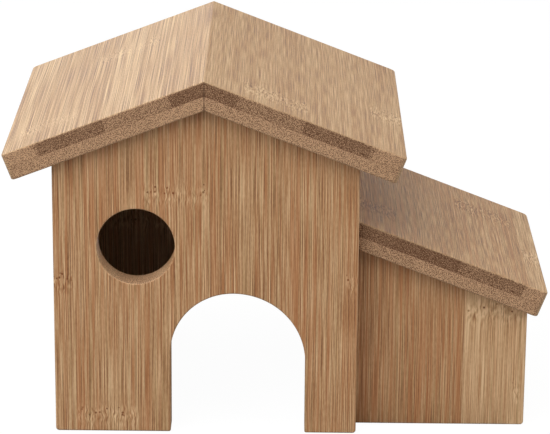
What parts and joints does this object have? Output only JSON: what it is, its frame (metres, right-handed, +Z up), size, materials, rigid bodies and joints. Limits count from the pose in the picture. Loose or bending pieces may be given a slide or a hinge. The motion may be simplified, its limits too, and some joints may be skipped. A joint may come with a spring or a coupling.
{
  "type": "small animal house",
  "caption": "Two-room small-animal house of bamboo board: gabled room with round window and arched doorways, and a lower lean-to annex.",
  "frame": {"origin": "middle of the footprint, on the ground", "axes": "+X along the front towards the annex, +Y from the front to the back, +Z up"},
  "size_m": [0.1956, 0.125, 0.1335],
  "materials": {
    "wall_board": "oiled carbonised bamboo, grain upright",
    "annex_board": "oiled carbonised bamboo, grain upright",
    "roof_board": "oiled carbonised bamboo, grain from front to back",
    "dowel": "plain dowel rod"
  },
  "bodies": {
    "root": {"front_wall": "wall_board", "back_wall": "wall_board", "left_wall": "wall_board", "partition_wall": "wall_board", "annex_front_wall": "annex_board", "annex_back_wall": "annex_board", "annex_end_wall": "annex_board", "roof_left": "roof_board", "roof_right": "roof_board", "annex_roof": "roof_board", "front_wall_dowels": "dowel", "back_wall_dowels": "dowel", "annex_joint_dowels": "dowel", "annex_end_dowels": "dowel", "roof_left_dowels": "dowel", "roof_right_dowels": "dowel", "annex_roof_dowels": "dowel"}
  },
  "joints": []
}
